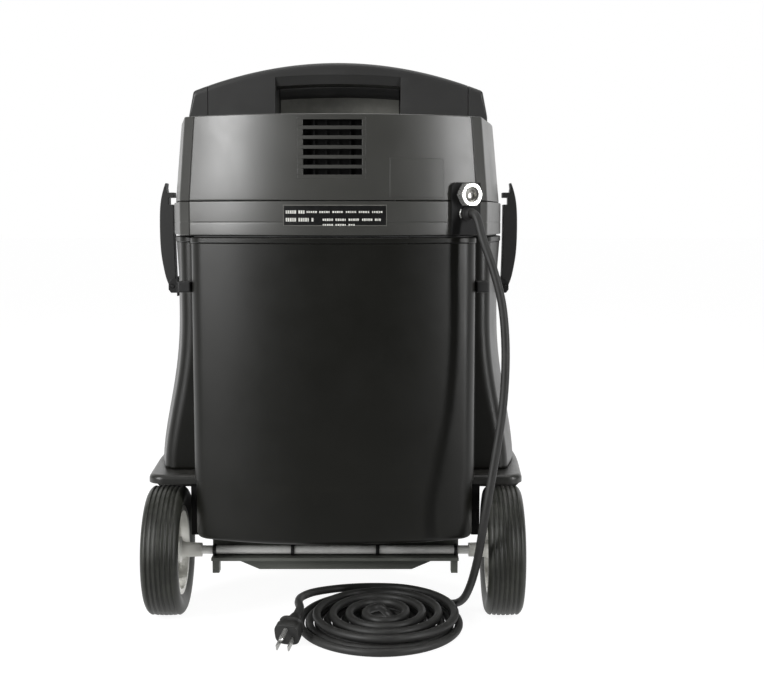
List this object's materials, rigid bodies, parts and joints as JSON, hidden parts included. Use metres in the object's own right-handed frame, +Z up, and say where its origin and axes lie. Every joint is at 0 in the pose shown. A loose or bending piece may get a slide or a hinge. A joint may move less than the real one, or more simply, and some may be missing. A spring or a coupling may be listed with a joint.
{
  "type": "wet and dry vacuum cleaner",
  "caption": "Commercial wet and dry vacuum cleaner: motor head latched on a deep dust container, wheeled deck with castors, carrying handle and coiled mains cord.",
  "frame": {"origin": "on the floor, in the middle of the whole object's box, with the cord coil included", "axes": "+Z up, +Y towards the machine's front (hose inlet and controls), -Y towards the rear (exhaust grille and cord), +X to the right seen from behind"},
  "size_m": [0.4376, 0.6143, 0.633],
  "materials": {
    "container_plastic": "satin moulded",
    "head_plastic": "satin moulded",
    "black_plastic": "moulded",
    "rubber": "smooth rubber",
    "tyre": "ribbed rubber",
    "rim_plastic": "moulded grey",
    "zinc_steel": "zinc plated",
    "chrome": "plated",
    "label": "printed film",
    "filter_paper": "pleated paper",
    "signal_plastic": "moulded"
  },
  "bodies": {
    "chassis": {"container": "container_plastic", "container_rim": "container_plastic", "deck": "container_plastic", "chassis_frame": "black_plastic", "rear_axle": "chrome", "axle_clip_left_outer": "black_plastic", "axle_clip_left_inner": "black_plastic", "axle_clip_right_inner": "black_plastic", "axle_clip_right_outer": "black_plastic", "left_latch_bracket": "black_plastic", "right_latch_bracket": "black_plastic", "left_latch_pin": "zinc_steel", "right_latch_pin": "zinc_steel", "left_corner_block": "rubber", "right_corner_block": "rubber", "hose_inlet": "black_plastic", "power_cord": "rubber", "plug_body": "rubber", "plug_blade_left": "zinc_steel", "plug_blade_right": "zinc_steel", "plug_earth_pin": "zinc_steel"},
    "head": {"head_seal": "rubber", "head_base": "head_plastic", "head_casing": "head_plastic", "top_cover": "head_plastic", "carry_handle": "head_plastic", "vent_grille": "black_plastic", "rating_label": "label", "service_cover": "head_plastic", "connector_plate": "black_plastic", "air_fitting": "chrome", "cord_gland": "rubber", "control_panel": "black_plastic", "tool_socket": "black_plastic", "motor_housing": "black_plastic", "motor_plate": "black_plastic", "lower_bearing": "zinc_steel", "upper_bearing": "zinc_steel", "filter_cartridge": "filter_paper", "float_cage": "black_plastic"},
    "left_wheel": {"left_tyre": "tyre", "left_rim": "rim_plastic", "left_hub_cap": "rim_plastic"},
    "right_wheel": {"right_tyre": "tyre", "right_rim": "rim_plastic", "right_hub_cap": "rim_plastic"},
    "left_castor": {"left_castor_fork": "zinc_steel", "left_castor_pin": "zinc_steel"},
    "right_castor": {"right_castor_fork": "zinc_steel", "right_castor_pin": "zinc_steel"},
    "left_castor_roller": {"left_castor_wheel": "rubber"},
    "right_castor_roller": {"right_castor_wheel": "rubber"},
    "left_latch": {"left_latch_lever": "head_plastic"},
    "right_latch": {"right_latch_lever": "head_plastic"},
    "selector": {"selector_knob": "head_plastic"},
    "suction_dial": {"suction_knob": "head_plastic"},
    "flap": {"socket_flap": "black_plastic"},
    "rotor": {"motor_rotor": "zinc_steel"},
    "float": {"float_ball": "signal_plastic"}
  },
  "joints": [
    {"name": "head_lift", "type": "slide", "parent": "chassis", "child": "head", "axis": [0, 0, 1], "range_m": [0, 0.26]},
    {"name": "left_wheel_spin", "type": "hinge", "parent": "chassis", "child": "left_wheel", "pos_m": [-0.1845, -0.152, 0.073], "axis": [1, 0, 0], "continuous": true},
    {"name": "right_wheel_spin", "type": "hinge", "parent": "chassis", "child": "right_wheel", "pos_m": [0.1845, -0.152, 0.073], "axis": [1, 0, 0], "continuous": true},
    {"name": "left_castor_swivel", "type": "hinge", "parent": "chassis", "child": "left_castor", "pos_m": [-0.14, 0.255, 0.1], "axis": [0, 0, 1], "continuous": true},
    {"name": "right_castor_swivel", "type": "hinge", "parent": "chassis", "child": "right_castor", "pos_m": [0.14, 0.255, 0.1], "axis": [0, 0, 1], "continuous": true},
    {"name": "left_castor_spin", "type": "hinge", "parent": "left_castor", "child": "left_castor_roller", "pos_m": [-0.14, 0.227, 0.0375], "axis": [1, 0, 0], "continuous": true},
    {"name": "right_castor_spin", "type": "hinge", "parent": "right_castor", "child": "right_castor_roller", "pos_m": [0.14, 0.227, 0.0375], "axis": [1, 0, 0], "continuous": true},
    {"name": "left_latch_swing", "type": "hinge", "parent": "chassis", "child": "left_latch", "pos_m": [-0.2025, 0, 0.3645], "axis": [0, -1, 0], "range_deg": [0, 75]},
    {"name": "right_latch_swing", "type": "hinge", "parent": "chassis", "child": "right_latch", "pos_m": [0.2025, 0, 0.3645], "axis": [0, 1, 0], "range_deg": [0, 75]},
    {"name": "selector_turn", "type": "hinge", "parent": "head", "child": "selector", "pos_m": [-0.045, 0.2408, 0.512], "axis": [0, 1, 0], "range_deg": [-90, 90]},
    {"name": "suction_turn", "type": "hinge", "parent": "head", "child": "suction_dial", "pos_m": [0, 0.2408, 0.512], "axis": [0, 1, 0], "range_deg": [-135, 135]},
    {"name": "flap_open", "type": "hinge", "parent": "head", "child": "flap", "pos_m": [0.05, 0.249, 0.536], "axis": [1, 0, 0], "range_deg": [0, 100]},
    {"name": "rotor_spin", "type": "hinge", "parent": "head", "child": "rotor", "pos_m": [0, 0, 0.48], "axis": [0, 0, 1], "continuous": true},
    {"name": "float_rise", "type": "slide", "parent": "head", "child": "float", "axis": [0, 0, 1], "range_m": [0, 0.018]}
  ]
}
